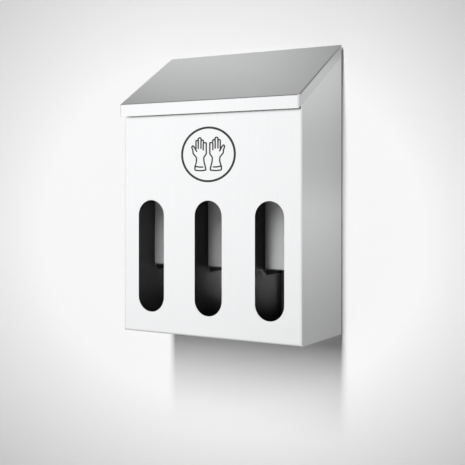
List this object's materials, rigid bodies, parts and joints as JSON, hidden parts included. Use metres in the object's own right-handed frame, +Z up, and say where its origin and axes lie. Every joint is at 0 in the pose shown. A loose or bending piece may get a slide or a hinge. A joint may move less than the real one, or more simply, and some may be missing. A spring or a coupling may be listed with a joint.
{
  "type": "disposable glove dispenser",
  "caption": "Wall-mounted sheet-metal dispenser for loose disposable gloves, with upright finger slots in front and a sloping lid hinged at the back",
  "frame": {"origin": "centre of the four wall screw holes, on the plane of the wall", "axes": "+X to the right of someone who faces the front, +Y out of the back towards the wall, +Z up; the front faces -Y"},
  "size_m": [0.3034, 0.1422, 0.4245],
  "materials": {
    "casing_sheet": "brushed stainless steel sheet, fine grain",
    "back_sheet": "mill-finish stainless steel sheet",
    "inner_sheet": "mill-finish stainless steel sheet",
    "lid_sheet": "brushed stainless steel sheet, grain along the width",
    "hinge_steel": "plain stainless steel",
    "fixing_steel": "bright stainless steel"
  },
  "bodies": {
    "case": {"casing": "casing_sheet", "back_panel": "back_sheet", "divider_left": "inner_sheet", "divider_right": "inner_sheet", "guide_left": "inner_sheet", "guide_middle": "inner_sheet", "guide_right": "inner_sheet", "hinge_leaf_back": "hinge_steel", "hinge_pin": "hinge_steel", "back_studs": "fixing_steel", "back_nuts": "fixing_steel"},
    "lid": {"lid": "lid_sheet", "hinge_leaf_lid": "hinge_steel", "lid_studs": "fixing_steel", "lid_nuts": "fixing_steel"}
  },
  "joints": [
    {"name": "lid_hinge", "type": "hinge", "parent": "case", "child": "lid", "pos_m": [0, -0.00375, 0.19876], "axis": [-1, 0, 0], "range_deg": [0, 120]}
  ]
}
